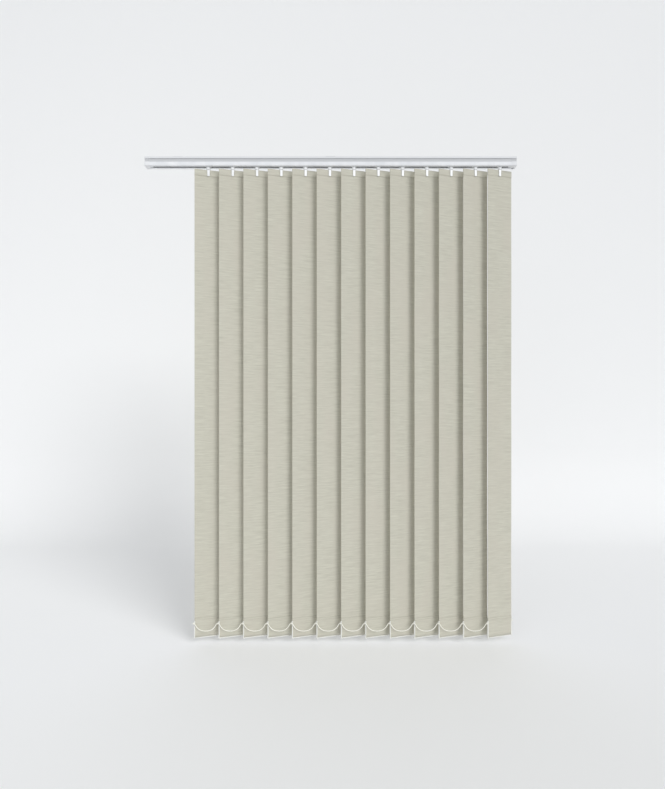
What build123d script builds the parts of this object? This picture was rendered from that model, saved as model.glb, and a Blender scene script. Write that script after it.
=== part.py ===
from build123d import *
import os
from math import ceil, cos, pi, radians, sin, tan

# Vertical blind with cloth vanes: a slotted headrail, thirteen carriers that slide in it, and a
# tilt rod whose worms turn the hooks that the vanes hang from. Millimetres.
# X runs along the rail, -Y faces the room, +Z is up. The origin is on the ceiling plane, above the
# middle of the rail. "Left" is -X. Vane 1 leads at the left, and vane 13 stays at the stack end.

# Layout
vane_count = 13
vane_pitch = 80.0        # carrier to carrier with the blind drawn across
lead_run = 207.0         # rail beyond the lead carrier
stack_run = 53.0         # rail beyond the last carrier
rest_tilt = 16.0         # degrees between a vane and the rail, left edge towards the room
stem_y = -1.5            # the slot and the hooks' stems lie a little towards the room

# Headrail section
rail_depth = 28.0
rail_wall = 1.2
flange_height = 6.0      # top band, with the bracket channel in it
waist_height = 10.0      # recessed band
waist_inset = 3.0
body_height = 14.0       # lower band, where the carriers run
body_radius = 3.0        # rounded outer edges of the lower band
flange_radius = 0.8
slot_width = 10.0
bracket_slot = 14.0      # opening along the top of the rail
cap_length = 16.0
cap_plug = 8.0           # how far a cap's plug reaches into the rail
cap_lip = 0.5            # how far a cap stands proud of the rail's section
cap_edge = 0.4           # chamfer round a cap's outer face
rod_end_room = 0.5       # gap round the rod's corners in a cap
rod_stop = 6.0           # how far from a cap's outer face the rod's bore ends

# Ceiling brackets
bracket_run = 500.0      # middle bracket to each outer bracket
bracket_plate = 1.2
bracket_length = 36.0
bracket_width = 24.0
bracket_hole = 4.5
bracket_hole_gap = 24.0
bracket_leg = 12.0       # length of the two spring legs
leg_thick = 1.0
barb_reach = 2.2
barb_height = 1.2
plate_corner = 3.0

# Tilt drive
gear_module = 0.8
gear_teeth = 10
gear_height = 4.0
worm_pitch_diameter = 8.0
rod_flats = 3.6          # across the flats of the hexagonal rod
rod_fit = 0.1            # gap all round between rod and worm
worm_hub = 1.2           # thickness of the worm's end flanges
journal_radius = 3.0
wheel_radius = 5.0
wheel_width = 7.0
wheel_room = 1.2         # radial gap round the wheel
wheel_side = 0.7         # gap at each side of the wheel
wheel_pockets = 6
pocket_ball = 1.9        # radius of a pocket for a bead

# Carriers
carrier_length = 17.0
carrier_gap = 3.0        # between carriers in the stack
run_gap = 0.3            # carrier to rail, all round
trough_width = 10.4
trough_depth = 5.4
turn_gap = 0.15          # radial gap round a turning stem or worm
pocket_gap = 0.3
pocket_wall = 1.7        # carrier's end walls, beside the worm
worm_play = 0.1          # end play of the worm
mouth_grip = 0.3         # how much narrower a journal's mouth is than the journal, each side

# Spacer strips
strip_width = 6.0
strip_thick = 0.4
ear_width = 9.4
ear_length = 2.0
catch_length = 1.9
catch_gap = 0.4          # strip to catch, each side
strip_gap = 0.4          # lowest strip to the trough's base

# Hooks
neck_radius = 4.0
knob_radius = 6.5
knob_gap = 0.9           # rail to knob
knob_height = 8.2
pin_radius = 2.2
pin_head = 2.9
leg_width = 7.6
leg_depth = 2.0
leg_drop = 21.0          # knob to the tip of the leg
leg_root = 1.5           # how far the leg reaches up into the knob
leg_tip_radius = 2.4
peg_drop = 10.6          # knob to the top of the peg
peg_width = 5.0
peg_height = 2.5
peg_lip = 1.2
peg_root = 0.5           # how far the peg reaches into the leg
peg_rise = 1.6           # lip at the peg's end
leg_gap = 0.15           # cloth to the leg's back
peg_room = 0.25          # cloth to the peg's lip
groove_width = 1.4
groove_depth = 0.7

# Vanes
vane_width = 89.0
vane_drop = 1538.2       # top fold to the underside of the bottom weight
vane_gap = 0.6           # knob to the top fold
cloth = 0.45
head_pocket = 21.0
foot_pocket = 65.0
weld_run = 3.0           # height over which a pocket closes to one layer
slip = 0.1               # gap between cloth and what is in its pocket
slot_half = 4.0          # cloth's slot for the peg
slot_rise = 2.2
slot_fall = 6.6
hole_half = 3.2          # hanger's hole for the peg
hole_fall = 5.6
hanger_corner = 1.5
hanger_thick = 1.2
hanger_height = 16.0
hanger_side = 1.5        # hanger ends, short of the cloth's edges
weight_thick = 1.6
weight_height = 57.0
rim_height = 3.0         # weight below the cloth
rim_thick = 3.0
clip_width = 3.0         # end clips that wrap the cloth's edges
clip_wall = 0.5
clip_reach = 1.0         # clip beyond the cloth's edge
clip_radius = 0.4

# Chain between the weights
pin_reach = 1.9          # weight's end to the axis of the chain pin
link_pin = 0.9           # radius
lug_thick = 1.2
lug_wall = 0.4           # lug beyond its pin
lug_drop = 3.0           # top of the weight to the first lug
lug_gap = 5.4
eye_radius = 1.7
link_height = 3.0
chain_diameter = 3.0
chain_sag = 28.4         # scale of the loop's slopes; the loop itself hangs 24
saddle_reach = 3.8       # pin axis to the chain
saddle_radius = 2.4
saddle_bore = 1.85
saddle_length = 1.5
peak_half = 4.2          # half the short run of chain through a saddle

# Worked out from these
rail_length = lead_run + (vane_count - 1) * vane_pitch + stack_run
rail_height = flange_height + waist_height + body_height
rail_top = -bracket_plate
body_top = rail_top - flange_height - waist_height
rail_bottom = rail_top - rail_height
half_depth = rail_depth / 2
inner_half = half_depth - rail_wall
waist_half = half_depth - waist_inset
waist_inner = waist_half - rail_wall
tube_half = rail_length / 2 - cap_length
last_x = rail_length / 2 - stack_run
gear_pitch_radius = gear_module * gear_teeth / 2
gear_tip = gear_pitch_radius + gear_module
gear_root = gear_pitch_radius - 1.2 * gear_module
worm_root = worm_pitch_diameter / 2 - 1.2 * gear_module
worm_crest = worm_pitch_diameter / 2 + gear_module
rod_y = stem_y + gear_pitch_radius + worm_pitch_diameter / 2
chamber_top = body_top - rail_wall
chamber_floor = rail_bottom + rail_wall
rod_z = (chamber_top + chamber_floor) / 2
carrier_top = rail_top - flange_height - rail_wall - 0.2
carrier_floor = chamber_floor + run_gap
shoulder = chamber_top - run_gap
trough_base = carrier_top - trough_depth
stack_pitch = carrier_length + carrier_gap
strip_reach = vane_pitch + carrier_length / 2 + run_gap + ear_length
level_count = ceil(strip_reach / stack_pitch) + 1
level_rise = (trough_depth - 1.2) / level_count
knob_top = rail_bottom - knob_gap
knob_floor = knob_top - knob_height
peg_top = knob_floor - peg_drop
vane_top = knob_floor - vane_gap
vane_foot = vane_top - vane_drop
head_half = hanger_thick / 2 + slip + cloth
foot_half = weight_thick / 2 + slip + cloth
clip_half = foot_half + slip + clip_wall
weight_top = vane_foot + weight_height
weight_half = vane_width / 2 + clip_reach
pin_u = weight_half + pin_reach
link_z = weight_top - lug_drop - lug_thick - lug_gap / 2


def block(x0, x1, y0, y1, z0, z1):
    """A box between two corners."""
    size = (abs(x1 - x0), abs(y1 - y0), abs(z1 - z0))
    return Pos((x0 + x1) / 2, (y0 + y1) / 2, (z0 + z1) / 2) * Box(*size)


def upright(radius, z0, z1, x=0.0, y=0.0):
    """A cylinder along Z."""
    return Pos(x, y, (z0 + z1) / 2) * Cylinder(radius, abs(z1 - z0))


def lying(radius, x0, x1, y, z):
    """A cylinder along X."""
    return Pos((x0 + x1) / 2, y, z) * Rot(0, 90, 0) * Cylinder(radius, abs(x1 - x0))


def band(half_width, z_high, z_low):
    """A rectangle of the rail's section, in the YZ plane."""
    return Pos(0, (z_high + z_low) / 2) * Rectangle(2 * half_width, z_high - z_low)


def along_x(sketch, x0, x1):
    """A section of the YZ plane carried from x0 to x1."""
    return extrude(Plane.YZ.offset(x0) * sketch, amount=x1 - x0)


def rail_outline(grow=0.0):
    """The outside of the rail: top band, recessed waist and rounded lower band."""
    top = band(half_depth + grow, rail_top, rail_top - flange_height - grow)
    top = fillet(top.vertices(), flange_radius)
    low = band(half_depth + grow, body_top + grow, rail_bottom - grow)
    low = fillet(low.vertices(), body_radius)
    waist_top = rail_top - flange_height / 2
    waist = band(waist_half + grow, waist_top, rail_bottom + body_height / 2)
    return top + waist + low


def headrail():
    """The slotted tube that the carriers run in, with a channel for the brackets on top."""
    channel_floor = rail_top - flange_height + rail_wall
    section = rail_outline()
    section -= band(inner_half, rail_top - rail_wall, channel_floor)
    section -= band(bracket_slot / 2, rail_top + 1, channel_floor)
    section -= band(waist_inner, channel_floor - rail_wall, chamber_top - 1)
    section -= band(inner_half, chamber_top, chamber_floor)
    section -= Pos(stem_y, 0) * band(slot_width / 2, chamber_top, rail_bottom - 1)
    return along_x(section, -tube_half, tube_half)


def cap_body(side):
    """An end cap: a slice of the rail's outside with a plug that fits the rail's chamber."""
    face = side * tube_half
    end = side * rail_length / 2
    outer = along_x(rail_outline(cap_lip), min(face, end), max(face, end))
    outer = chamfer(outer.faces().sort_by(Axis.X)[-1 if side > 0 else 0].edges(), cap_edge)
    plug_end = side * (tube_half - cap_plug)
    plug_half = inner_half - run_gap
    plug = block(face, plug_end, -plug_half, plug_half, shoulder, carrier_floor)
    body = outer + plug
    bore = rod_flats / 2 / cos(pi / 6) + rod_end_room
    return body - lying(bore, plug_end - side, end - side * rod_stop, rod_y, rod_z)


def far_end_cap():
    """Left cap, with a blind bearing for the tilt rod."""
    return cap_body(-1)


def control_housing():
    """Right cap, with the chain wheel's chamber, open below where the operating chain comes out."""
    middle = rail_length / 2 - cap_length / 2
    start = middle - wheel_width / 2 - wheel_side
    end = middle + wheel_width / 2 + wheel_side
    reach = wheel_radius + wheel_room
    body = cap_body(1) - lying(reach, start, end, rod_y, rod_z)
    return body - block(start, end, rod_y - reach, rod_y + reach, rod_z, rail_bottom - 2)


def ceiling_bracket():
    """A spring clip: a screwed plate with two barbed legs that hold the rail by its top slot."""
    long, wide = bracket_length / 2, bracket_width / 2
    plate = block(-long, long, -wide, wide, rail_top, 0)
    plate = fillet(plate.edges().filter_by(Axis.Z), plate_corner)
    face = bracket_slot / 2 - 0.2
    barb_top = rail_top - rail_wall - 0.15
    half = bracket_leg / 2
    for side in (-1, 1):
        inner = side * (face - leg_thick)
        outer = side * (face + barb_reach)
        plate += block(-half, half, inner, side * face, rail_top, barb_top - barb_height)
        plate += block(-half, half, side * face, outer, barb_top, barb_top - barb_height)
    for x in (-bracket_hole_gap / 2, bracket_hole_gap / 2):
        plate -= upright(bracket_hole / 2, rail_top - 1, 1, x)
    return plate


def hex_bar(flats, x0, x1):
    """A hexagonal bar along the tilt rod's axis."""
    section = Pos(rod_y, rod_z) * RegularPolygon(flats / 2, 6, major_radius=False)
    return along_x(section, x0, x1)


def tilt_rod():
    """The hexagonal rod, turned round at both ends for its bearings."""
    hex_half = tube_half + cap_length - 9
    end_half = rail_length / 2 - 6.5
    rod = hex_bar(rod_flats, -hex_half, hex_half)
    return rod + lying(rod_flats / 2 - 0.05, -end_half, end_half, rod_y, rod_z)


def chain_wheel():
    """The wheel that an operating chain turns, with a ring of pockets for its beads."""
    middle = rail_length / 2 - cap_length / 2
    wheel = lying(wheel_radius, middle - wheel_width / 2, middle + wheel_width / 2, rod_y, rod_z)
    for n in range(wheel_pockets):
        turn = 2 * pi * n / wheel_pockets
        place = (middle, rod_y + wheel_radius * cos(turn), rod_z + wheel_radius * sin(turn))
        wheel -= Pos(*place) * Sphere(pocket_ball)
    bore = hex_bar(rod_flats + 2 * rod_fit, middle - wheel_width, middle + wheel_width)
    return wheel - bore


def level_z(number):
    """Height of the underside of a strip. Neighbours lie at different heights, so they pass."""
    return trough_base + strip_gap + level_rise * (number % level_count)


def catches(number, x_edges):
    """Pairs of small lugs on the trough's walls, at one strip's height."""
    inner = strip_width / 2 + catch_gap
    low = level_z(number) - 0.1
    high = low + strip_thick + 0.15
    lugs = []
    for x0, x1 in x_edges:
        for side in (-1, 1):
            lugs.append(block(x0, x1, side * inner, side * (trough_width / 2 + 0.3), low, high))
    return lugs


def spacer_strip(number):
    """A flat strip with an ear at each end: one holds in its own carrier, one catches the next."""
    z = level_z(number)
    top = z + strip_thick
    near = ear_length / 2
    far = -strip_reach
    strip = block(far, near, -strip_width / 2, strip_width / 2, z, top)
    for x0, x1 in ((-near, near), (far, far + ear_length)):
        strip += block(x0, x1, -ear_width / 2, ear_width / 2, z, top)
    return strip


def carrier(number):
    """A carrier's housing, with pockets for the gear and worm, and its spacer strip."""
    half = carrier_length / 2
    wide = inner_half - run_gap
    narrow = waist_inner - run_gap
    lower = block(-half, half, -wide, wide, shoulder, carrier_floor)
    lower = fillet(lower.edges().filter_by(Axis.X), body_radius - rail_wall)
    body = lower + block(-half, half, -narrow, narrow, carrier_top, shoulder - 2)
    body = chamfer(body.edges().filter_by(Axis.Z), 0.5)
    trough = trough_width / 2
    body -= block(-half - 1, half + 1, -trough, trough, carrier_top + 1, trough_base)
    gear_top = rod_z + gear_height / 2 + pocket_gap
    body -= upright(gear_tip + pocket_gap, carrier_floor - 1, gear_top, 0, stem_y)
    body -= upright(pin_radius + turn_gap, gear_top - 1, trough_base + 1, 0, stem_y)
    body -= upright(pin_head + turn_gap, trough_base - 1.2, trough_base + 1, 0, stem_y)
    pocket = worm_crest + pocket_gap
    room = half - pocket_wall
    body -= lying(pocket, -room, room, rod_y, rod_z)
    body -= block(-room, room, rod_y, wide + 1, rod_z - pocket, rod_z + pocket)
    body -= lying(journal_radius + turn_gap, -half - 1, half + 1, rod_y, rod_z)
    mouth = journal_radius - mouth_grip
    body -= block(-half - 1, half + 1, rod_y, wide + 1, rod_z - mouth, rod_z + mouth)
    if number < vane_count:
        for lug in catches(number + 1, [(-half, -half + catch_length)]):
            body += lug
    if number == 1:
        return [body]
    hold = ear_length / 2 + 0.1
    for lug in catches(number, [(-hold - catch_length, -hold), (hold, hold + catch_length)]):
        body += lug
    return [body, spacer_strip(number)]


def worm():
    """The worm's core, end flanges and journals. Its thread is single, right hand and fine."""
    half = carrier_length / 2
    room = half - pocket_wall - worm_play
    body = lying(worm_root, -half, half, rod_y, rod_z)
    for side in (-1, 1):
        inner = side * (room - worm_hub)
        outer = side * room
        body += lying(worm_crest, min(inner, outer), max(inner, outer), rod_y, rod_z)
        body += lying(journal_radius, min(outer, side * half), max(outer, side * half), rod_y, rod_z)
    return body - hex_bar(rod_flats + 2 * rod_fit, -half - 1, half + 1)


def gear_outline():
    """Straight-flanked teeth: one tooth and one gap to each turn of the angle."""
    points = []
    step = 2 * pi / gear_teeth
    for n in range(gear_teeth):
        for share, radius in ((-0.3, gear_root), (-0.14, gear_tip), (0.14, gear_tip), (0.3, gear_root)):
            turn = (n + share) * step
            points.append((radius * cos(turn), radius * sin(turn)))
    return Polygon(*points, align=None)


def hook():
    """Stem, gear, knob and hook in one moulding, on the vane's own axis."""
    gear_floor = rod_z - gear_height / 2
    body = Pos(0, 0, gear_floor) * extrude(gear_outline(), amount=gear_height)
    body += upright(pin_radius, gear_floor + 1, trough_base - 0.1)
    body += upright(pin_head, trough_base - 1.1, trough_base - 0.1)
    body += upright(gear_tip, gear_floor - 1, carrier_floor)
    body += upright(neck_radius, gear_floor + 1, knob_top - 1)
    knob = upright(knob_radius, knob_top, knob_floor)
    knob = fillet(knob.edges(), 1.0)
    groove_top = (knob_top + knob_floor + groove_width) / 2
    groove = upright(knob_radius + 1, groove_top, groove_top - groove_width)
    groove -= upright(knob_radius - groove_depth, groove_top + 1, groove_top - groove_width - 1)
    body += knob - groove
    face = -(head_half + leg_gap)
    back = head_half + peg_room
    half = leg_width / 2
    leg = block(-half, half, face - leg_depth, face, knob_floor + leg_root, knob_floor - leg_drop)
    leg = fillet(leg.edges().filter_by(Axis.Y).sort_by(Axis.Z)[:2], leg_tip_radius)
    body += leg
    half = peg_width / 2
    peg_floor = peg_top - peg_height
    body += block(-half, half, face - peg_root, back + peg_lip, peg_top, peg_floor)
    body += block(-half, half, back, back + peg_lip, peg_top + peg_rise, peg_floor)
    return body


def cloth_section(inset):
    """The vane's section across its thickness, inset by a wall: head pocket, single sheet, foot pocket."""
    head = head_half - inset
    foot = foot_half - inset
    thin = cloth / 2
    head_weld = vane_top - head_pocket
    foot_weld = vane_foot + foot_pocket
    points = [(head, vane_top - inset), (head, head_weld + weld_run), (thin, head_weld)]
    cut_end = vane_foot + rim_height + slip
    points += [(thin, foot_weld), (foot, foot_weld - weld_run), (foot, cut_end)]
    mirrored = [(-w, z) for w, z in reversed(points)]
    return make_face(Polyline(*points, *mirrored, close=True))


def pocket_section(half, z_high, z_low, taper_up, taper_down):
    """The space inside a pocket, drawn to a point at its weld."""
    points = [(half, z_high), (half, z_low), (-half, z_low), (-half, z_high)]
    if taper_down:
        points.insert(2, (0.0, z_low - weld_run))
    if taper_up:
        points.insert(0, (0.0, z_high + weld_run))
    return make_face(Polyline(*points, close=True))


def across(sketch, half_width):
    """A section of thickness and height carried across the vane's width."""
    return extrude(Plane.YZ.offset(-half_width) * sketch, amount=2 * half_width)


def vane_cloth():
    """The cloth: one sheet folded into a pocket at its head and another at its foot."""
    half = vane_width / 2
    sheet = across(cloth_section(0.0), half)
    head_end = vane_top - head_pocket + weld_run
    foot_end = vane_foot + foot_pocket - weld_run - cloth
    head_space = pocket_section(head_half - cloth, vane_top - cloth, head_end, False, True)
    foot_space = pocket_section(foot_half - cloth, foot_end, vane_foot - 1, True, False)
    sheet -= across(head_space, half + 1)
    sheet -= across(foot_space, half + 1)
    through = head_half + 1
    return sheet - block(-slot_half, slot_half, -through, through, peg_top + slot_rise, peg_top - slot_fall)


def hanger():
    """The stiff plate in the head pocket, hung by its hole on the hook's peg."""
    half = vane_width / 2 - hanger_side
    top = vane_top - cloth - slip
    plate = block(-half, half, -hanger_thick / 2, hanger_thick / 2, top, top - hanger_height)
    plate = chamfer(plate.edges().filter_by(Axis.Y), hanger_corner)
    through = hanger_thick
    return plate - block(-hole_half, hole_half, -through, through, peg_top + slip, peg_top - hole_fall)


def weight():
    """The bottom weight: a core in the pocket, a rim below it, and clips round the cloth's edges."""
    inner_end = weight_half - 1
    half = weight_thick / 2
    body = block(-inner_end, inner_end, -half, half, weight_top, vane_foot)
    half = rim_thick / 2
    body += block(-weight_half, weight_half, -half, half, vane_foot + rim_height, vane_foot)
    low_lug = weight_top - lug_drop - lug_thick - lug_gap
    lug_half = link_pin + lug_wall
    groove = foot_half + slip
    for side in (-1, 1):
        end = side * weight_half
        inner = side * (weight_half - clip_width)
        clip = block(inner, end, -clip_half, clip_half, weight_top, vane_foot)
        clip = fillet(clip.edges().filter_by(Axis.Z), clip_radius)
        open_end = side * (vane_width / 2 + slip)
        for face in (-1, 1):
            near = face * weight_thick / 2
            far = face * groove
            clip -= block(inner - side, open_end, near, far, weight_top + 1, vane_foot + rim_height)
        body += clip
        for top in (weight_top - lug_drop, low_lug):
            floor = top - lug_thick
            body += block(end - side * clip_wall, side * pin_u, -lug_half, lug_half, top, floor)
            body += upright(lug_half, top, floor, side * pin_u)
        body += upright(link_pin, weight_top - lug_drop, low_lug - lug_thick, side * pin_u)
    return body


def chain_link(front):
    """A link that turns on a weight's pin and carries the chain in a short ring. front is -1 or 1."""
    eye = upright(eye_radius, link_z - link_height / 2, link_z + link_height / 2)
    saddle = lying(saddle_radius, -saddle_length / 2, saddle_length / 2, front * saddle_reach, link_z)
    half = saddle_length / 2
    neck = block(-half, half, 0, front * (saddle_reach - 1), link_z - 1, link_z + 1)
    link = eye + neck + saddle
    link -= upright(link_pin + turn_gap, link_z - link_height, link_z + link_height)
    return link - lying(saddle_bore, -saddle_length, saddle_length, front * saddle_reach, link_z)


def loop_route(front):
    """One hanging loop from saddle to saddle. Each run's slope falls off towards the middle."""
    half = vane_pitch / 2
    runs = [half - peak_half] + [half * share for share in (0.83, 0.7125, 0.475, 0.1625)]
    bends = [1.41, 1.17, 0.59, 0.17]
    y = front * saddle_reach
    slopes = [2 * chain_sag / half * share for share in bends]
    fall = 0.0
    left = [(0.0, y, link_z), (half - runs[0], y, link_z)]
    for n in range(1, len(runs)):
        fall += (runs[n - 1] - runs[n]) * slopes[n - 1]
        left.append((half - runs[n], y, link_z - fall))
    right = [(vane_pitch - x, y, z) for x, y, z in reversed(left)]
    return left + right


def bend_radii(points):
    """Each corner's arc: 0.45 of the shorter run over the tangent of half the turn."""
    radii = []
    for before, here, after in zip(points, points[1:], points[2:]):
        run_in = Vector(*here) - Vector(*before)
        run_out = Vector(*after) - Vector(*here)
        turn = radians(run_in.get_angle(run_out))
        radii.append(0.45 * min(run_in.length, run_out.length) / tan(turn / 2))
    return radii


def chain_loop(front):
    """One loop of the chain, as a plain tube."""
    points = loop_route(front)
    radii = bend_radii(points)
    path = FilletPolyline(*points, radius=radii)
    tube = sweep(Plane(path @ 0, z_dir=path % 0) * Circle(chain_diameter / 2), path=path)
    if front < 0:
        solid = pi * (chain_diameter / 2) ** 2 * path.length
        print("chain loop length", round(path.length, 2), "radii", [round(r, 1) for r in radii])
        print("chain loop volume", round(tube.volume, 1), "section by length", round(solid, 1))
    return tube


def chain_set(front):
    """All the loops along one edge of the vanes, with the link on each vane's pin."""
    tilt = radians(rest_tilt)
    pin_x = front * pin_u * cos(tilt)
    pin_y = stem_y + front * pin_u * sin(tilt)
    loop = chain_loop(front)
    link = chain_link(front)
    pieces = []
    for number in range(1, vane_count + 1):
        place = Pos(carrier_x(number) + pin_x, pin_y, 0)
        pieces.append(place * link)
        if number < vane_count:
            pieces.append(place * loop)
    return pieces


def carrier_x(number):
    """Where a carrier stands with the blind drawn across."""
    return last_x - (vane_count - number) * vane_pitch


def write(node, *solids):
    """One STEP file for one node."""
    whole = solids[0] if len(solids) == 1 else Compound(children=list(solids))
    whole.label = node
    export_step(whole, f"parts/{node}.step")


os.makedirs("parts", exist_ok=True)
write("headrail", headrail())
write("far_end_cap", far_end_cap())
write("control_housing", control_housing())
write("ceiling_brackets", *[Pos(n * bracket_run, 0, 0) * ceiling_bracket() for n in (-1, 0, 1)])
write("tilt_rod", tilt_rod())
write("chain_wheel", chain_wheel())
write("front_chain", *chain_set(-1))
write("rear_chain", *chain_set(1))

worm_solid = worm()
hook_solid = hook()
vane_solids = [vane_cloth(), hanger(), weight()]
for number in range(1, vane_count + 1):
    x = carrier_x(number)
    hung = Pos(x, stem_y, 0) * Rot(0, 0, rest_tilt)
    write(f"carrier_{number:02d}", *[Pos(x, 0, 0) * solid for solid in carrier(number)])
    write(f"worm_{number:02d}", Pos(x, 0, 0) * worm_solid)
    write(f"hook_{number:02d}", hung * hook_solid)
    write(f"vane_{number:02d}", *[hung * solid for solid in vane_solids])
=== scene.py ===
import bpy
import bmesh
import math
import numpy as np
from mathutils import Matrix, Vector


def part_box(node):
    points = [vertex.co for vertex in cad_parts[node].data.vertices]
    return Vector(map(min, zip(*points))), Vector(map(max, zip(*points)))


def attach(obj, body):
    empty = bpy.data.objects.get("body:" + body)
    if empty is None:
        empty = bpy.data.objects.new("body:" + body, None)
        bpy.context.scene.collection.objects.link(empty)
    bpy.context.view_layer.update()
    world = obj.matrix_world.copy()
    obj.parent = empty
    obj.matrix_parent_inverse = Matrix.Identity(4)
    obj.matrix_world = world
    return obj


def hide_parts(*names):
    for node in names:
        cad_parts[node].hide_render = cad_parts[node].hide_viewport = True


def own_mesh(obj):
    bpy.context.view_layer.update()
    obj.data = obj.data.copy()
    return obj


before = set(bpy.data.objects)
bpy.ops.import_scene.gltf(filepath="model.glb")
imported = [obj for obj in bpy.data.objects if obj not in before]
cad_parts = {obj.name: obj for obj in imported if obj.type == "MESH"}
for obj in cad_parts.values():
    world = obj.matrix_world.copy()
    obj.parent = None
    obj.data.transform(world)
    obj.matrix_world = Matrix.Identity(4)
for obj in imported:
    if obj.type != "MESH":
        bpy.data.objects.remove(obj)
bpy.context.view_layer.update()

scene = bpy.context.scene
vaneCount = 13
print("stage: frame loaded,", len(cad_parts), "nodes")

# Lengths are metres. Each piece has one dictionary with what a user would change.
layout = dict(pitch=0.080, stemY=-0.0015, restTilt=math.radians(16))
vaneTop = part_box("vane_01")[1].z
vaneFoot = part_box("vane_01")[0].z
wormBoxes = [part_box(f"worm_{n:02d}") for n in range(1, vaneCount + 1)]
stems = np.array([(low.x + high.x) / 2 for low, high in wormBoxes])


# A shader node of the given kind, with each named property set on it.
def addNode(tree, kind, **values):
    node = tree.nodes.new(kind)
    for key, value in values.items():
        setattr(node, key, value)
    return node


# One math step: the operation on two inputs, each a number or a socket.
def mathStep(tree, operation, first, second=0.0, clamp=False):
    node = addNode(tree, "ShaderNodeMath", operation=operation, use_clamp=clamp)
    for socket, value in zip(node.inputs, (first, second)):
        if isinstance(value, (int, float)):
            socket.default_value = value
        else:
            tree.links.new(value, socket)
    return node.outputs[0]


# Straight-line remap: (value - low) / (high - low), carried to the new range.
def remap(tree, value, low, high, newLow, newHigh, smooth=False):
    node = addNode(tree, "ShaderNodeMapRange", interpolation_type="SMOOTHSTEP" if smooth else "LINEAR")
    tree.links.new(value, node.inputs["Value"])
    for name, number in (("From Min", low), ("From Max", high), ("To Min", newLow), ("To Max", newHigh)):
        node.inputs[name].default_value = number
    return node.outputs["Result"]


# Noise on a stretched copy of the coordinates: position times a scale for each axis.
def stretchedNoise(tree, vector, scale, detail=2.0, rough=0.5):
    mapping = addNode(tree, "ShaderNodeMapping")
    mapping.inputs["Scale"].default_value = scale
    tree.links.new(vector, mapping.inputs["Vector"])
    noise = addNode(tree, "ShaderNodeTexNoise")
    noise.inputs["Scale"].default_value = 1.0
    noise.inputs["Detail"].default_value = detail
    noise.inputs["Roughness"].default_value = rough
    tree.links.new(mapping.outputs["Vector"], noise.inputs["Vector"])
    return noise.outputs["Fac"]


# A group with named sockets; fill() gets the tree, its inputs and its outputs.
def makeGroup(name, inputs, outputs, fill):
    group = bpy.data.node_groups.new(name, "ShaderNodeTree")
    for label, kind, value in inputs:
        socket = group.interface.new_socket(name=label, in_out="INPUT", socket_type=kind)
        if value is not None:
            socket.default_value = value
    for label, kind in outputs:
        group.interface.new_socket(name=label, in_out="OUTPUT", socket_type=kind)
    entry = group.nodes.new("NodeGroupInput")
    leave = group.nodes.new("NodeGroupOutput")
    fill(group, entry.outputs, leave.inputs)
    return group


# Woven cloth: threads are sines across and along, slubs are noise drawn out along the weft.
def fillWeave(tree, given, out):
    split = addNode(tree, "ShaderNodeSeparateXYZ")
    tree.links.new(given["Vector"], split.inputs[0])
    turns = mathStep(tree, "DIVIDE", 2 * math.pi, given["Thread"])
    warp = mathStep(tree, "SINE", mathStep(tree, "MULTIPLY", split.outputs["X"], turns))
    weft = mathStep(tree, "SINE", mathStep(tree, "MULTIPLY", split.outputs["Y"], turns))
    threads = mathStep(tree, "MULTIPLY", warp, weft)
    fine = stretchedNoise(tree, given["Vector"], (34.0, 760.0, 1.0), 3.0, 0.6)
    broad = stretchedNoise(tree, given["Vector"], (16.0, 230.0, 1.0), 2.0, 0.55)
    patch = stretchedNoise(tree, given["Vector"], (14.0, 5.0, 1.0), 1.0, 0.5)
    fineShare = mathStep(tree, "MULTIPLY", fine, 0.55)
    broadShare = mathStep(tree, "MULTIPLY", broad, 0.45)
    slub = remap(tree, mathStep(tree, "ADD", fineShare, broadShare), 0.36, 0.64, 0.0, 1.0)
    tree.links.new(slub, out["Slub"])
    tree.links.new(patch, out["Patch"])
    raised = mathStep(tree, "MULTIPLY", slub, 0.75)
    threadShare = mathStep(tree, "MULTIPLY", threads, 0.25)
    tree.links.new(mathStep(tree, "ADD", threadShare, raised), out["Height"])


# Painted or moulded skin: fine noise for the orange peel, broad noise for handling marks.
def fillSkin(tree, given, out):
    fine = addNode(tree, "ShaderNodeTexNoise")
    tree.links.new(given["Vector"], fine.inputs["Vector"])
    tree.links.new(given["Grain"], fine.inputs["Scale"])
    fine.inputs["Detail"].default_value = 2.0
    broad = addNode(tree, "ShaderNodeTexNoise")
    tree.links.new(given["Vector"], broad.inputs["Vector"])
    broad.inputs["Scale"].default_value = 38.0
    broad.inputs["Detail"].default_value = 3.0
    tree.links.new(fine.outputs["Fac"], out["Height"])
    tree.links.new(remap(tree, broad.outputs["Fac"], 0.3, 0.7, 0.0, 1.0), out["Marks"])


# Dust lies on faces that look up: the upward part of the normal, broken up by noise.
def fillDust(tree, given, out):
    geometry = addNode(tree, "ShaderNodeNewGeometry")
    split = addNode(tree, "ShaderNodeSeparateXYZ")
    tree.links.new(geometry.outputs["Normal"], split.inputs[0])
    up = remap(tree, split.outputs["Z"], 0.35, 0.95, 0.0, 1.0, True)
    specks = addNode(tree, "ShaderNodeTexNoise")
    tree.links.new(given["Vector"], specks.inputs["Vector"])
    specks.inputs["Scale"].default_value = 160.0
    specks.inputs["Detail"].default_value = 4.0
    cover = remap(tree, specks.outputs["Fac"], 0.35, 0.7, 0.2, 1.0)
    covered = mathStep(tree, "MULTIPLY", up, cover)
    tree.links.new(mathStep(tree, "MULTIPLY", covered, given["Amount"]), out["Mask"])


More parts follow.
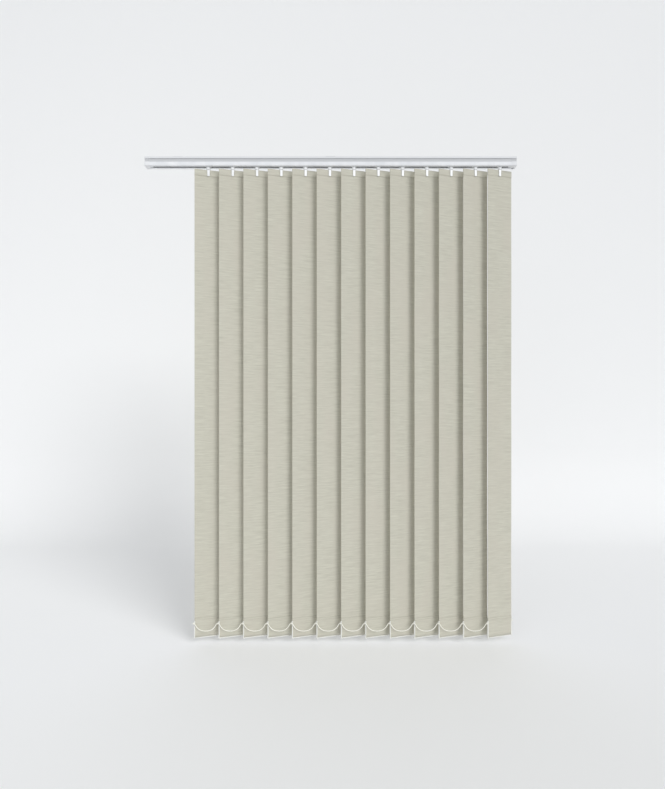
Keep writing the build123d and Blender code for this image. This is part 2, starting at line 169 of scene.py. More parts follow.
weaveGroup = makeGroup(
    "slubWeave", [("Vector", "NodeSocketVector", None), ("Thread", "NodeSocketFloat", 0.0006)],
    [("Slub", "NodeSocketFloat"), ("Patch", "NodeSocketFloat"), ("Height", "NodeSocketFloat")], fillWeave,
)
skinGroup = makeGroup(
    "skinGrain", [("Vector", "NodeSocketVector", None), ("Grain", "NodeSocketFloat", 2500.0)],
    [("Height", "NodeSocketFloat"), ("Marks", "NodeSocketFloat")], fillSkin,
)
dustGroup = makeGroup(
    "settledDust", [("Vector", "NodeSocketVector", None), ("Amount", "NodeSocketFloat", 0.3)],
    [("Mask", "NodeSocketFloat")], fillDust,
)


# A shared group in this material: coordinates linked in, each named value set on its socket.
def useGroup(tree, group, vector, **values):
    node = addNode(tree, "ShaderNodeGroup", node_tree=group)
    tree.links.new(vector, node.inputs["Vector"])
    for name, value in values.items():
        node.inputs[name].default_value = value
    return node.outputs


# Colour mix: first colour towards second by a mask. Colours are linear triples or sockets.
def mixColour(tree, mask, first, second):
    node = addNode(tree, "ShaderNodeMix", data_type="RGBA")
    tree.links.new(mask, node.inputs["Factor"])
    for socket, value in zip(node.inputs[6:8], (first, second)):
        if isinstance(value, tuple):
            socket.default_value = (*value, 1.0)
        else:
            tree.links.new(value, socket)
    return node.outputs[2]


# A normal tilted by the slope of a height: strength is its share, distance the height's full rise.
def bumpFrom(tree, height, strength, distance):
    bump = addNode(tree, "ShaderNodeBump")
    bump.inputs["Strength"].default_value = strength
    bump.inputs["Distance"].default_value = distance
    tree.links.new(height, bump.inputs["Height"])
    return bump.outputs["Normal"]


# Linear value of an sRGB triple from 0 to 255: ((c + 0.055) / 1.055) ** 2.4 on its share of 255.
def fromScreen(red, green, blue):
    return tuple(((c / 255 + 0.055) / 1.055) ** 2.4 for c in (red, green, blue))


# A new material with its node tree and its Principled shader.
def newMaterial(name):
    material = bpy.data.materials.new(name)
    material.use_nodes = True
    tree = material.node_tree
    return material, tree, tree.nodes["Principled BSDF"]


dustColour = (176, 172, 162)
finishes = {
    "railWhite": dict(
        body=(238, 239, 241), worn=(226, 228, 231), dust=0.30,
        rough=(0.30, 0.42), grain=2600, bump=0.10,
    ),
    "capWhite": dict(
        body=(236, 237, 239), worn=(226, 227, 229), dust=0.25,
        rough=(0.38, 0.50), grain=3400, bump=0.14,
    ),
    "carrierWhite": dict(
        body=(232, 232, 230), worn=(214, 214, 210), dust=0.12,
        rough=(0.34, 0.48), grain=3000, bump=0.08,
    ),
    "hookWhite": dict(
        body=(246, 247, 248), worn=(234, 235, 236), dust=0.08,
        rough=(0.26, 0.40), grain=3600, bump=0.06,
    ),
    "weightWhite": dict(
        body=(234, 234, 229), worn=(222, 222, 216), dust=0.15,
        rough=(0.34, 0.48), grain=3200, bump=0.10,
    ),
    "chainCream": dict(
        body=(254, 253, 245), worn=(248, 246, 234), dust=0.05,
        rough=(0.28, 0.42), grain=4200, bump=0.05,
    ),
    "wormNylon": dict(
        body=(226, 222, 208), worn=(206, 202, 188), dust=0.05,
        rough=(0.36, 0.50), grain=2800, bump=0.06,
    ),
}


# Each finish: body colour worn by broad marks, dust on top, roughness from the marks, bump from the grain.
def makeFinish(name, spec):
    material, tree, shader = newMaterial(name)
    place = addNode(tree, "ShaderNodeTexCoord").outputs["Object"]
    skin = useGroup(tree, skinGroup, place, Grain=float(spec["grain"]))
    dust = useGroup(tree, dustGroup, place, Amount=spec["dust"])
    colour = mixColour(tree, skin["Marks"], fromScreen(*spec["body"]), fromScreen(*spec["worn"]))
    colour = mixColour(tree, dust["Mask"], colour, fromScreen(*dustColour))
    tree.links.new(colour, shader.inputs["Base Color"])
    rough = remap(tree, skin["Marks"], 0.0, 1.0, *spec["rough"])
    dusty = mathStep(tree, "MULTIPLY", dust["Mask"], 0.4)
    tree.links.new(mathStep(tree, "ADD", rough, dusty, True), shader.inputs["Roughness"])
    tree.links.new(bumpFrom(tree, skin["Height"], spec["bump"], 0.0002), shader.inputs["Normal"])
    return material


materials = {name: makeFinish(name, spec) for name, spec in finishes.items()}

# Painted shade on the rail: a grey painted in the recessed band and a lighter grey painted on the flange
# above it.
railPaintedShade = dict(
    inset=0.0126, top=-0.0072, low=-0.0172, edge=0.0001,
    shade=(200, 201, 203), flangeShade=(220, 221, 223), flangeShadeShare=0.8,
)


# Painted shade on the rail: a greyer colour painted where the skin lies inside the outer faces, between two
# heights, for the shade in the recessed band, and a share of a lighter grey painted above the band for the
# shade on the flange.
def paintRailShade(material):
    tree = material.node_tree
    shader = tree.nodes["Principled BSDF"]
    split = addNode(tree, "ShaderNodeSeparateXYZ")
    tree.links.new(addNode(tree, "ShaderNodeTexCoord").outputs["Object"], split.inputs[0])
    depth = mathStep(tree, "ABSOLUTE", split.outputs["Y"])
    inside = mathStep(tree, "LESS_THAN", depth, railPaintedShade["inset"])
    under = mathStep(tree, "LESS_THAN", split.outputs["Z"], railPaintedShade["top"] + railPaintedShade["edge"])
    over = mathStep(tree, "GREATER_THAN", split.outputs["Z"], railPaintedShade["low"] - railPaintedShade["edge"])
    mask = mathStep(tree, "MULTIPLY", mathStep(tree, "MULTIPLY", inside, under), over)
    before = shader.inputs["Base Color"].links[0].from_socket
    above = mathStep(tree, "GREATER_THAN", split.outputs["Z"], railPaintedShade["top"] - railPaintedShade["edge"])
    flangeShadeMask = mathStep(tree, "MULTIPLY", above, railPaintedShade["flangeShadeShare"])
    flangeShaded = mixColour(tree, flangeShadeMask, before, fromScreen(*railPaintedShade["flangeShade"]))
    shadedColour = mixColour(tree, mask, flangeShaded, fromScreen(*railPaintedShade["shade"]))
    tree.links.new(shadedColour, shader.inputs["Base Color"])


# The rail and the caps get the painted shade.
for shadedFinish in ("railWhite", "capWhite"):
    paintRailShade(materials[shadedFinish])


metalDust = (150, 146, 138)


# Drawn metal: noise stretched along X for the lines, dust on top.
def makeMetal(name, colour, rough, lines):
    material, tree, shader = newMaterial(name)
    place = addNode(tree, "ShaderNodeTexCoord").outputs["Object"]
    drawn = stretchedNoise(tree, place, lines, 3.0, 0.6)
    dust = useGroup(tree, dustGroup, place, Amount=0.15)
    shade = mixColour(tree, remap(tree, drawn, 0.3, 0.7, 0.0, 1.0), colour, tuple(0.8 * c for c in colour))
    dusted = mixColour(tree, dust["Mask"], shade, fromScreen(*metalDust))
    tree.links.new(dusted, shader.inputs["Base Color"])
    shader.inputs["Metallic"].default_value = 1.0
    tree.links.new(remap(tree, drawn, 0.3, 0.7, *rough), shader.inputs["Roughness"])
    tree.links.new(bumpFrom(tree, drawn, 0.08, 0.0001), shader.inputs["Normal"])
    return material


metals = {
    "rodAluminium": dict(colour=(0.76, 0.77, 0.78), rough=(0.28, 0.42), lines=(12.0, 1800.0, 1800.0)),
    "bracketSteel": dict(colour=(0.62, 0.63, 0.65), rough=(0.26, 0.44), lines=(60.0, 900.0, 900.0)),
}
for metalName, metalSpec in metals.items():
    materials[metalName] = makeMetal(metalName, **metalSpec)

cloth = dict(
    width=0.089, thick=0.00045, headPocket=0.021, footPocket=0.065, weldRun=0.003, hemLap=0.0020,
    headHalf=0.000925, footHalf=0.001125, footLift=0.0031, slotHalf=0.004, slotTop=-0.0078, slotLow=-0.0166,
    weldHalf=0.0006, weldDent=0.00012, weldSpread=0.0003, creaseDrop=0.0052, creaseDent=0.0001,
    bow=0.0010, ripple=0.00035, stiffRun=0.25, thread=0.00062,
    light=(206, 204, 190), dark=(187, 184, 170), patch=(199, 194, 181), seam=(156, 152, 138),
)


# Cloth: two close colours mixed by the slubs, a slow warm patch, darker weld lines, sheen from the fibres.
def makeCloth():
    material, tree, shader = newMaterial("vaneCloth")
    flatPlace = addNode(tree, "ShaderNodeUVMap", uv_map="clothPlace").outputs["UV"]
    weave = useGroup(tree, weaveGroup, flatPlace, Thread=cloth["thread"])
    colour = mixColour(tree, weave["Slub"], fromScreen(*cloth["dark"]), fromScreen(*cloth["light"]))
    warm = remap(tree, weave["Patch"], 0.4, 0.7, 0.0, 0.55)
    colour = mixColour(tree, warm, colour, fromScreen(*cloth["patch"]))
    weld = addNode(tree, "ShaderNodeAttribute", attribute_name="weldLine").outputs["Fac"]
    colour = mixColour(tree, mathStep(tree, "MULTIPLY", weld, 0.6), colour, fromScreen(*cloth["seam"]))
    tree.links.new(colour, shader.inputs["Base Color"])
    tree.links.new(remap(tree, weave["Slub"], 0.0, 1.0, 0.82, 0.92), shader.inputs["Roughness"])
    tree.links.new(bumpFrom(tree, weave["Height"], 0.55, 0.00022), shader.inputs["Normal"])
    shader.inputs["Sheen Weight"].default_value = 0.12
    shader.inputs["Sheen Roughness"].default_value = 0.5
    shader.inputs["Specular IOR Level"].default_value = 0.25
    return material


materials["vaneCloth"] = makeCloth()
print("stage: materials made")

nodeFinish = {
    "headrail": "railWhite", "far_end_cap": "capWhite", "control_housing": "capWhite",
    "ceiling_brackets": "bracketSteel", "tilt_rod": "rodAluminium", "chain_wheel": "capWhite",
    "carrier": "carrierWhite", "worm": "wormNylon", "hook": "hookWhite",
}
for nodeName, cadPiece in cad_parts.items():
    finish = nodeFinish.get(nodeName) or nodeFinish.get(nodeName.rsplit("_", 1)[0])
    if finish:
        for materialSlot in cadPiece.material_slots:
            materialSlot.material = materials[finish]


# Quads of a grid with that many rows and columns, as rows of four corner numbers.
def gridQuads(rows, columns, closeColumns=False):
    across = np.arange(columns if closeColumns else columns - 1)
    down = np.arange(rows - 1)[:, None] * columns
    nextAcross = (across + 1) % columns
    below = down + columns
    corners = [down + across, down + nextAcross, below + nextAcross, below + across]
    return np.stack(corners, -1).reshape(-1, 4)


# Several shells as one mesh: points and faces stacked, each shell's corner numbers moved on.
class Shells:
    def __init__(self):
        self.points, self.faces, self.total = [], [], 0

    def add(self, points, faces):
        points = np.asarray(points, float).reshape(-1, 3)
        self.faces += [tuple(int(i) + self.total for i in face) for face in faces]
        self.points.append(points)
        self.total += len(points)


# An object whose place is in its mesh, with outward normals on closed shells.
def makePiece(name, points, faces, material, smooth=True, recalc=True):
    mesh = bpy.data.meshes.new(name)
    mesh.from_pydata(np.asarray(points).tolist(), [], [tuple(map(int, f)) for f in faces])
    if recalc:
        work = bmesh.new()
        work.from_mesh(mesh)
        bmesh.ops.recalc_face_normals(work, faces=work.faces)
        work.to_mesh(mesh)
        work.free()
    mesh.polygons.foreach_set("use_smooth", np.full(len(mesh.polygons), smooth))
    mesh.materials.append(materials[material])
    piece = bpy.data.objects.new(name, mesh)
    scene.collection.objects.link(piece)
    return piece


# Vane place: (u, w) turned by the rest tilt about the stem, then moved to the stem.
def hung(local, stemX):
    turn = layout["restTilt"]
    local = np.asarray(local, float)
    x = stemX + local[..., 0] * math.cos(turn) - local[..., 1] * math.sin(turn)
    y = layout["stemY"] + local[..., 0] * math.sin(turn) + local[..., 1] * math.cos(turn)
    return np.stack([x, y, local[..., 2]], -1)


# A closed outline carried between two levels: ring at each level, capped by one face at each end.
def prism(outline, levels, axes):
    outline = np.asarray(outline, float)
    count, rings = len(outline), []
    for level in levels:
        ring = np.zeros((count, 3))
        ring[:, axes[0]], ring[:, axes[1]], ring[:, axes[2]] = outline[:, 0], outline[:, 1], level
        rings.append(ring)
    faces = [tuple(q) for q in gridQuads(len(levels), count, True)]
    faces.append(tuple(range(count))[::-1])
    faces.append(tuple(range((len(levels) - 1) * count, len(levels) * count)))
    return np.concatenate(rings), faces


# Rounded edges: a bevel of that width on edges that turn more than the angle.
def addBevel(piece, width, segments=2, angle=40):
    bevel = piece.modifiers.new("roundedEdges", "BEVEL")
    bevel.width = width
    bevel.segments = segments
    bevel.limit_method = "ANGLE"
    bevel.angle_limit = math.radians(angle)


# Cloth line in (thickness, height, weld mark): up the back of the head pocket, over its fold, down the front
# to the foot. The flap is the foot pocket's back. At a weld the two layers come together.
def clothLine():
    thick, head, foot = cloth["thick"], cloth["headHalf"], cloth["footHalf"]
    headWeld, footWeld, run = vaneTop - cloth["headPocket"], vaneFoot + cloth["footPocket"], cloth["weldRun"]
    half, dent, spread = cloth["weldHalf"], cloth["weldDent"], cloth["weldSpread"]
    low = vaneFoot + cloth["footLift"]
    crease = footWeld - cloth["creaseDrop"]
    slotTop, slotLow = vaneTop + cloth["slotTop"], vaneTop + cloth["slotLow"]
    foldZ = vaneTop - thick / 2 - head
    headZ = np.array([headWeld + run, slotLow, (slotTop + slotLow) / 2, slotTop, foldZ - 0.003])
    arc = np.linspace(0, math.pi, 9)
    line = [(thick, headWeld - cloth["hemLap"], 0), (thick, headWeld - half, 0.3)]
    line += [(thick, headWeld, 1), (thick * 1.2, headWeld + half, 0.3)]
    line += [(head, z, 0) for z in headZ]
    line += [(head * math.cos(a), foldZ + head * math.sin(a), 0) for a in arc]
    line += [(-head, z, 0) for z in headZ[::-1]]
    line += [(-spread, headWeld + half, 0.3), (dent, headWeld, 1), (0, headWeld - half, 0.3)]
    line.append((0, headWeld - run, 0))
    line += [(0, z, 0) for z in np.linspace(headWeld - 4 * run, footWeld + 4 * run, 76)]
    line += [(0, footWeld + run, 0), (0, footWeld + half, 0.3), (dent, footWeld, 1)]
    line += [(-0.0002, footWeld - half, 0.3), (-foot * 0.97, footWeld - run, 0)]
    line += [(-foot, crease + half, 0.2), (cloth["creaseDent"] - foot, crease, 0.6)]
    line.append((-foot, crease - half, 0.2))
    line += [(-foot, z, 0) for z in np.linspace(footWeld - 0.010, low, 7)]
    flap = [(thick, footWeld + cloth["hemLap"], 0), (thick, footWeld + half, 0.3)]
    flap += [(thick, footWeld, 1), (thick * 1.2, footWeld - half, 0.3)]
    flap += [(foot, z, 0) for z in np.linspace(footWeld - run, low, 7)]
    return np.array(line, float), np.array(flap, float)


mainLine, flapLine = clothLine()
halfColumns = [4, 10, 17, 25, 33, 40, 43.6, 44.5]
clothColumns = np.array([-u for u in halfColumns[::-1]] + [0] + halfColumns) / 1000


# One vane's cloth: the line carried across the width, bowed by 1 - (2u / width) squared and rippled along its
# height, both fading out at the stiff head and foot; the peg's slot is left open.
def clothPiece(number, stemX, draw):
    rows, uvs, welds, faces, start = [], [], [], [], 0
    name = f"vaneCloth_{number:02d}"
    phases = draw.uniform(0, 2 * math.pi, 3)
    bow = cloth["bow"] * draw.uniform(0.5, 1.0)
    for line in (mainLine, flapLine):
        along = np.concatenate([[0], np.cumsum(np.hypot(*np.diff(line[:, :2], axis=0).T))])
        u, z = np.meshgrid(clothColumns, line[:, 1])
        w = np.repeat(line[:, :1], len(clothColumns), 1)
        fromHead = np.clip((vaneTop - cloth["headPocket"] - z) / cloth["stiffRun"], 0, 1)
        fromFoot = np.clip((z - vaneFoot - cloth["footPocket"]) / cloth["stiffRun"], 0, 1)
        share = fromHead * fromFoot
        fade = share * share * (3 - 2 * share)
        side = 2 * u / cloth["width"]
        w = w - fade * bow * (1 - side ** 2)
        wave = np.sin(z * 11 + phases[0]) * side + 0.5 * np.sin(z * 23 + phases[1] + side)
        w = w + fade * cloth["ripple"] * wave
        rows.append(hung(np.stack([u, w, z], -1), stemX).reshape(-1, 3))
        lengthwise = np.repeat(along[:, None], len(clothColumns), 1)
        flat = np.stack([u + 0.13 * number, lengthwise + 2.1 * number], -1)
        uvs.append(flat.reshape(-1, 2))
        welds.append(np.repeat(line[:, 2], len(clothColumns)))
        quads = gridQuads(len(line), len(clothColumns))
        centre = np.stack([u, z], -1).reshape(-1, 2)[quads].mean(1)
        below = centre[:, 1] < vaneTop + cloth["slotTop"]
        above = centre[:, 1] > vaneTop + cloth["slotLow"]
        inSlot = (abs(centre[:, 0]) < cloth["slotHalf"]) & below & above
        faces.append(quads[~inSlot] + start)
        start += len(rows[-1])
    points, faces = np.concatenate(rows), np.concatenate(faces)
    uvs, welds = np.concatenate(uvs), np.concatenate(welds)
    piece = makePiece(name, points, faces, "vaneCloth", recalc=False)
    mesh = piece.data
    layer = mesh.uv_layers.new(name="clothPlace")
    corners = np.empty(len(mesh.loops), np.int32)
    mesh.loops.foreach_get("vertex_index", corners)
    layer.data.foreach_set("uv", uvs[corners].astype(np.float32).ravel())
    marks = mesh.attributes.new("weldLine", "FLOAT", "POINT")
    marks.data.foreach_set("value", welds.astype(np.float32))
    solid = piece.modifiers.new("clothThickness", "SOLIDIFY")
    solid.thickness, solid.offset, solid.use_even_offset = cloth["thick"], 0.0, False
    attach(piece, f"louvre_{number:02d}")
    return piece


hanger = dict(
    half=0.043, thick=0.0012, height=0.016, drop=0.00055, chamfer=0.0015, footChamfer=0.0012, edge=0.0002,
    holeHalf=0.0032, holeTop=-0.0099, holeLow=-0.0156,
)


# Hanger: a flat grid with the peg's hole left out, ends drawn in at its top and bottom rows, then thickened.
def hangerPiece(number, stemX):
    top = vaneTop - hanger["drop"]
    low = top - hanger["height"]
    columns = np.array([-1, -0.965, -0.6, -0.2, -hanger["holeHalf"] / hanger["half"]])
    columns = np.concatenate([columns, [0], -columns[::-1]]) * hanger["half"]
    holeTop, holeLow = vaneTop + hanger["holeTop"], vaneTop + hanger["holeLow"]
    middle = (holeTop + holeLow) / 2
    heights = np.array([top, top - hanger["chamfer"], holeTop, middle, low + hanger["footChamfer"], low])
    u, z = np.meshgrid(columns, heights)
    endRow = (z > top - 0.0001) | (z < low + 0.0001)
    drawn = np.where(endRow, 1 - hanger["chamfer"] / hanger["half"], 1.0)
    across = np.where(abs(u) > 0.6 * hanger["half"], u * drawn, u)
    points = hung(np.stack([across, np.zeros_like(u), z], -1), stemX).reshape(-1, 3)
    quads = gridQuads(len(heights), len(columns))
    centre = np.stack([u, z], -1).reshape(-1, 2)[quads].mean(1)
    level = (centre[:, 1] < holeTop) & (centre[:, 1] > low + 0.001)
    inHole = (abs(centre[:, 0]) < hanger["holeHalf"]) & level
    name = f"vaneHanger_{number:02d}"
    piece = makePiece(name, points, quads[~inHole], "weightWhite", smooth=False, recalc=False)
    solid = piece.modifiers.new("plateThickness", "SOLIDIFY")
    solid.thickness, solid.offset = hanger["thick"], 0.0
    addBevel(piece, hanger["edge"], 1)
    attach(piece, f"louvre_{number:02d}")


weight = dict(
    height=0.057, coreHalf=0.0008, rimHalf=0.0015, rimHeight=0.003, half=0.0455, edge=0.00028,
    clipWidth=0.003, clipHalf=0.00195, grooveHalf=0.00145, openEnd=0.0446, clipLap=0.0002,
    pinReach=0.0019, pinRadius=0.0009, pinSet=0.0006,
    lugDrop=0.003, lugThick=0.0012, lugGap=0.0054, lugHalf=0.0013, lugLap=0.0005,
)


# Bottom weight: a T outline carried across the vane, an E outline up each end, lugs and a pin at each end.
def weightPiece(number, stemX):
    shells = Shells()
    top, foot = vaneFoot + weight["height"], vaneFoot
    rimTop, core, rim = foot + weight["rimHeight"], weight["coreHalf"], weight["rimHalf"]
    right = [(rim, foot), (rim, rimTop), (core, rimTop), (core, top)]
    bar = [(-rim, foot)] + right + [(-core, top), (-core, rimTop), (-rim, rimTop)]
    endIn = weight["half"] - weight["clipWidth"] + weight["clipLap"]
    shells.add(*prism(bar, (-endIn, endIn), (1, 2, 0)))
    for side in (-1, 1):
        a, b = side * (weight["half"] - weight["clipWidth"]), side * weight["half"]
        g = side * weight["openEnd"]
        out, groove = weight["clipHalf"], weight["grooveHalf"]
        comb = [(b, -out), (b, out), (a, out), (a, groove), (g, groove), (g, core), (a, core)]
        comb += [(a, -core), (g, -core), (g, -groove), (a, -groove), (a, -out)]
        shells.add(*prism(comb, (rimTop, top), (0, 1, 2)))
        shells.add(*prism([(b, -out), (b, out), (a, out), (a, -out)], (foot, rimTop), (0, 1, 2)))
        pinU, lug = side * (weight["half"] + weight["pinReach"]), weight["lugHalf"]
        turn = np.linspace(-math.pi / 2, math.pi / 2, 9)
        nose = [(pinU + side * lug * math.cos(t), lug * math.sin(t)) for t in turn]
        root = b - side * weight["lugLap"]
        stadium = [(root, -lug)] + nose + [(root, lug)]
        flangeShadeMask = top - weight["lugDrop"]
        lower = flangeShadeMask - weight["lugThick"] - weight["lugGap"]
        for level in (flangeShadeMask, lower):
            shells.add(*prism(stadium, (level - weight["lugThick"], level), (0, 1, 2)))
        pin, turns = weight["pinRadius"], np.linspace(0, 2 * math.pi, 13)[:-1]
        pinRound = [(pinU + pin * math.cos(t), pin * math.sin(t)) for t in turns]
        ends = (lower - weight["pinSet"], flangeShadeMask - weight["pinSet"])
        shells.add(*prism(pinRound, ends, (0, 1, 2)))
    points = hung(np.concatenate(shells.points), stemX)
    piece = makePiece(f"vaneWeight_{number:02d}", points, shells.faces, "weightWhite", smooth=False)
    addBevel(piece, weight["edge"], 2)
    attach(piece, f"louvre_{number:02d}")


draw = np.random.default_rng(13)
for number, stemX in enumerate(stems, 1):
    clothMade = clothPiece(number, stemX, draw)
    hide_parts(f"vane_{number:02d}")
    hangerPiece(number, stemX)
    weightPiece(number, stemX)

chain = dict(
    bead=0.003, string=0.0018, pitch=0.0034, sides=10, reach=0.0038, pinOut=0.0474,
    eye=0.0017, eyeBore=0.00108, eyeHigh=0.003, eyeGap=0.00005,
    ring=0.0024, ringBore=0.00185, ringLong=0.0015, ringLap=0.0002, neckHalf=0.00075, neckHigh=0.002,
)
linkZ = vaneFoot + weight["height"] - weight["lugDrop"] - weight["lugThick"] - weight["lugGap"] / 2
# One loop from a saddle to the middle of the span: metres along the rail, metres below the saddle.
loopRoute = [
    (0.0, 0.0), (0.0042, 0.0), (0.0068, 0.005206), (0.0115, 0.013014), (0.0210, 0.020973), (0.0335, 0.023991),
]


# A ring: its wall's rectangle, from the inner to the outer radius and with the outer corners cut, carried
# round an axis.
def ringShell(centre, axis, outer, inner, length, sides=20):
    turn = np.linspace(0, 2 * math.pi, sides, endpoint=False)
    soft = min(0.0003, 0.3 * (outer - inner))
    end = length / 2
    lowerHalf = [(inner, -end), (outer - soft, -end), (outer, soft - end)]
    profile = np.array(lowerHalf + [(outer, end - soft), (outer - soft, end), (inner, end)])
    ring = np.zeros((len(profile), sides, 3))
    plane = [k for k in range(3) if k != axis]
    ring[..., plane[0]] = profile[:, :1] * np.cos(turn)
    ring[..., plane[1]] = profile[:, :1] * np.sin(turn)
    ring[..., axis] = profile[:, 1:]
    points = ring.reshape(-1, 3) + np.asarray(centre)
    quads = gridQuads(len(profile), sides, True)
    last = (len(profile) - 1) * sides
    across = np.arange(sides)
    closing = np.stack([last + across, last + (across + 1) % sides, (across + 1) % sides, across], -1)
    return points, np.concatenate([quads, closing])


# Where a vane's pin stands: the pin's reach along the vane, turned by the rest tilt, from the stem.
def pinPlace(front, stemX):
    tilt = layout["restTilt"]
    reach = front * chain["pinOut"]
    return stemX + reach * math.cos(tilt), layout["stemY"] + reach * math.sin(tilt)


# Control points of all the loops: the half route from each pin, then its mirror towards the next pin.
def chainControl(pinX, y):
    control = []
    for start in pinX[:-1]:
        control += [(start + x, y, linkZ - fall) for x, fall in loopRoute]
        control += [(start + layout["pitch"] - x, y, linkZ - fall) for x, fall in loopRoute[:0:-1]]
    control.append((pinX[-1], y, linkZ))
    return control


# The control points as a NURBS line, read back as points along it.
def chainLine(label, control):
    curve = bpy.data.curves.new(label + "Route", "CURVE")
    curve.dimensions = "3D"
    curve.resolution_u = 16
    spline = curve.splines.new("NURBS")
    spline.points.add(len(control) - 1)
    for point, place in zip(spline.points, control):
        point.co = (*place, 1.0)
    spline.order_u = 3
    spline.use_endpoint_u = True
    holder = bpy.data.objects.new(label + "Route", curve)
    scene.collection.objects.link(holder)
    bpy.context.view_layer.update()
    read = bpy.data.meshes.new_from_object(holder)
    line = np.array([v.co for v in read.vertices], float)
    bpy.data.objects.remove(holder)
    bpy.data.meshes.remove(read)
    return line


# Beads at an even pitch along the line: rings whose radius is the bead's times the cosine of their latitude,
# joined by the string between one bead and the next, with a fan of triangles at each end.
def beadShell(line):
    steps = np.concatenate([[0], np.cumsum(np.linalg.norm(np.diff(line, axis=0), axis=1))])
    beads = int(round(steps[-1] / chain["pitch"]))
    radius, count = chain["bead"] / 2, chain["sides"]
    neck = math.asin(chain["string"] / 2 / radius)
    latitudes = np.linspace(-math.pi / 2 + neck, math.pi / 2 - neck, 7)
    middles = (np.arange(beads) + 0.5) * (steps[-1] / beads)
    places = (middles[:, None] + radius * np.sin(latitudes)).ravel()
    radii = np.repeat(radius * np.cos(latitudes)[None], beads, 0).ravel()

    def onLine(distance):
        return np.stack([np.interp(distance, steps, line[:, k]) for k in range(3)], -1)

    centre = onLine(places)
    ahead = onLine(places + 0.0004) - onLine(places - 0.0004)
    ahead /= np.linalg.norm(ahead, axis=1)[:, None]
    out = np.array([0.0, 1.0, 0.0])
    side = np.cross(ahead, out)
    turn = np.linspace(0, 2 * math.pi, count, endpoint=False)
    around = np.cos(turn)[:, None] * out + np.sin(turn)[:, None] * side[:, None]
    rings = centre[:, None] + radii[:, None, None] * around
    points = np.concatenate([rings.reshape(-1, 3), centre[:1], centre[-1:]])
    lastRing = (len(centre) - 1) * count
    faces = [tuple(q) for q in gridQuads(len(centre), count, True)]
    faces += [(len(points) - 2, (k + 1) % count, k) for k in range(count)]
    faces += [(len(points) - 1, lastRing + k, lastRing + (k + 1) % count) for k in range(count)]
    return points, faces, float(steps[-1]), beads


# The links' rings round the chain, each with a neck that runs back to just short of its eye.
def linkShells(front, pinX, pinY, y):
    links = Shells()
    half, high = chain["neckHalf"], chain["neckHigh"] / 2
    near = pinY + front * (chain["eye"] + chain["eyeGap"])
    far = y - front * (chain["ring"] - chain["ringLap"])
    for x in pinX:
        links.add(*ringShell((x, y, linkZ), 0, chain["ring"], chain["ringBore"], chain["ringLong"]))
        neckShape = [(x - half, near), (x + half, near), (x + half, far), (x - half, far)]
        links.add(*prism(neckShape, (linkZ - high, linkZ + high), (0, 1, 2)))
    return links


# One chain: its beads and its links ride the same body.
def chainPieces(front, label, body, node):
    pinX, pinY = pinPlace(front, stems)
    y = pinY + front * chain["reach"]
    line = chainLine(label, chainControl(pinX, y))
    points, faces, total, beads = beadShell(line)
    beadsPiece = makePiece(label + "Beads", points, faces, "chainCream")
    links = linkShells(front, pinX, pinY, y)
    linkPoints = np.concatenate(links.points)
    linksPiece = makePiece(label + "Links", linkPoints, links.faces, "chainCream", smooth=False)
    for piece in (beadsPiece, linksPiece):
        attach(piece, body)
        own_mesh(piece)
    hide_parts(node)
    print("stage:", label, "made, length", round(total, 4), "beads", beads)


# The links' eyes: a ring round each of a vane's two pins. A ring looks the same however it turns on its pin,
# so it rides with the vane.
def linkEyes(number, stemX):
    shells = Shells()
    for front in (-1, 1):
        x, y = pinPlace(front, stemX)
        shells.add(*ringShell((x, y, linkZ), 2, chain["eye"], chain["eyeBore"], chain["eyeHigh"]))
    points = np.concatenate(shells.points)
    piece = makePiece(f"vaneLinkEyes_{number:02d}", points, shells.faces, "chainCream", smooth=False)
    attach(piece, f"louvre_{number:02d}")


for number, stemX in enumerate(stems, 1):
    linkEyes(number, stemX)
chainPieces(-1, "frontChain", "front_chain_run", "front_chain")
chainPieces(1, "rearChain", "rear_chain_run", "rear_chain")

studio = dict(floorZ=-1.5995, wallY=1.6, bend=0.5, wide=4.0, front=-3.2, wallTop=2.2, pale=(0.93, 0.93, 0.93))


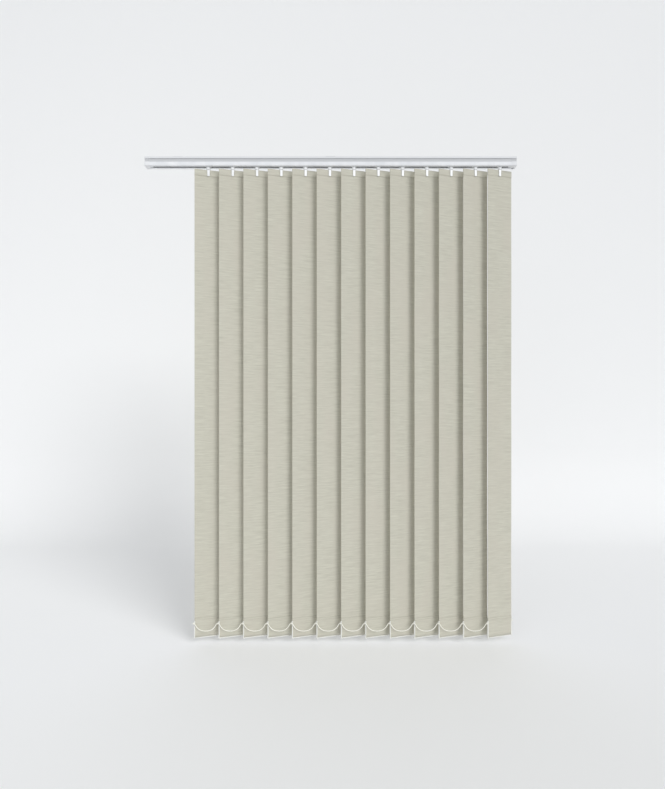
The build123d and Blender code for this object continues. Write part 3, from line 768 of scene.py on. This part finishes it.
# Floor and backdrop in one strip: flat, then a quarter circle, then upright.
def makeStage():
    turn = np.linspace(0, math.pi / 2, 13)
    bend, floorZ, wallY = studio["bend"], studio["floorZ"], studio["wallY"]
    line = [(studio["front"], floorZ)]
    line += [(wallY - bend + bend * math.sin(t), floorZ + bend - bend * math.cos(t)) for t in turn]
    line.append((wallY, studio["wallTop"]))
    line = np.array(line)
    sides = np.array([-studio["wide"], studio["wide"]])
    x, y = np.meshgrid(sides, line[:, 0])
    z = np.repeat(line[:, 1:], 2, 1)
    mesh = bpy.data.meshes.new("studioFloor")
    mesh.from_pydata(np.stack([x, y, z], -1).reshape(-1, 3).tolist(), [], gridQuads(len(line), 2).tolist())
    mesh.polygons.foreach_set("use_smooth", np.ones(len(mesh.polygons), bool))
    material, _, shader = newMaterial("studioPale")
    shader.inputs["Base Color"].default_value = (*studio["pale"], 1)
    shader.inputs["Roughness"].default_value = 0.8
    mesh.materials.append(material)
    floor = bpy.data.objects.new("studioFloor", mesh)
    scene.collection.objects.link(floor)


makeStage()

lamps = {
    "keySun": dict(
        kind="SUN", place=(2.6, -2.9, 1.3), aim=(0.1, 0, -0.8), soft=math.radians(34), power=1.5,
    ),
    "fillLamp": dict(kind="AREA", place=(-1.7, -2.3, 0.2), aim=(0, 0, -0.9), soft=2.4, power=12),
}


# Soft lamps, each aimed along the line from its place to its aim: a wide sun and a square area.
def makeLamp(name, spec):
    lamp = bpy.data.lights.new(name, spec["kind"])
    lamp.energy = spec["power"]
    if spec["kind"] == "SUN":
        lamp.angle = spec["soft"]
    else:
        lamp.size = spec["soft"]
    holder = bpy.data.objects.new(name, lamp)
    scene.collection.objects.link(holder)
    start, aim = np.array(spec["place"], float), np.array(spec["aim"], float)
    holder.location = start
    direction = aim - start
    flat = math.hypot(direction[0], direction[1])
    lift = math.pi / 2 - math.atan2(-direction[2], flat)
    holder.rotation_euler = (lift, 0, math.atan2(-direction[0], direction[1]))


for lampName, lampSpec in lamps.items():
    makeLamp(lampName, lampSpec)

world = bpy.data.worlds.new("softRoom")
scene.world = world
world.use_nodes = True
world.node_tree.nodes["Background"].inputs["Color"].default_value = (0.94, 0.97, 1.0, 1)
world.node_tree.nodes["Background"].inputs["Strength"].default_value = 0.52

view = dict(place=(0.006, -1.7, -0.8004), lens=23.5, shiftY=0.0076)
cameraData = bpy.data.cameras.new("frontCamera")
cameraData.lens = view["lens"]
cameraData.sensor_width = 36
cameraData.shift_y = view["shiftY"]
camera = bpy.data.objects.new("frontCamera", cameraData)
scene.collection.objects.link(camera)
camera.location = view["place"]
camera.rotation_euler = (math.pi / 2, 0, 0)
scene.camera = camera
scene.view_settings.view_transform = "Standard"
print("stage: studio made")
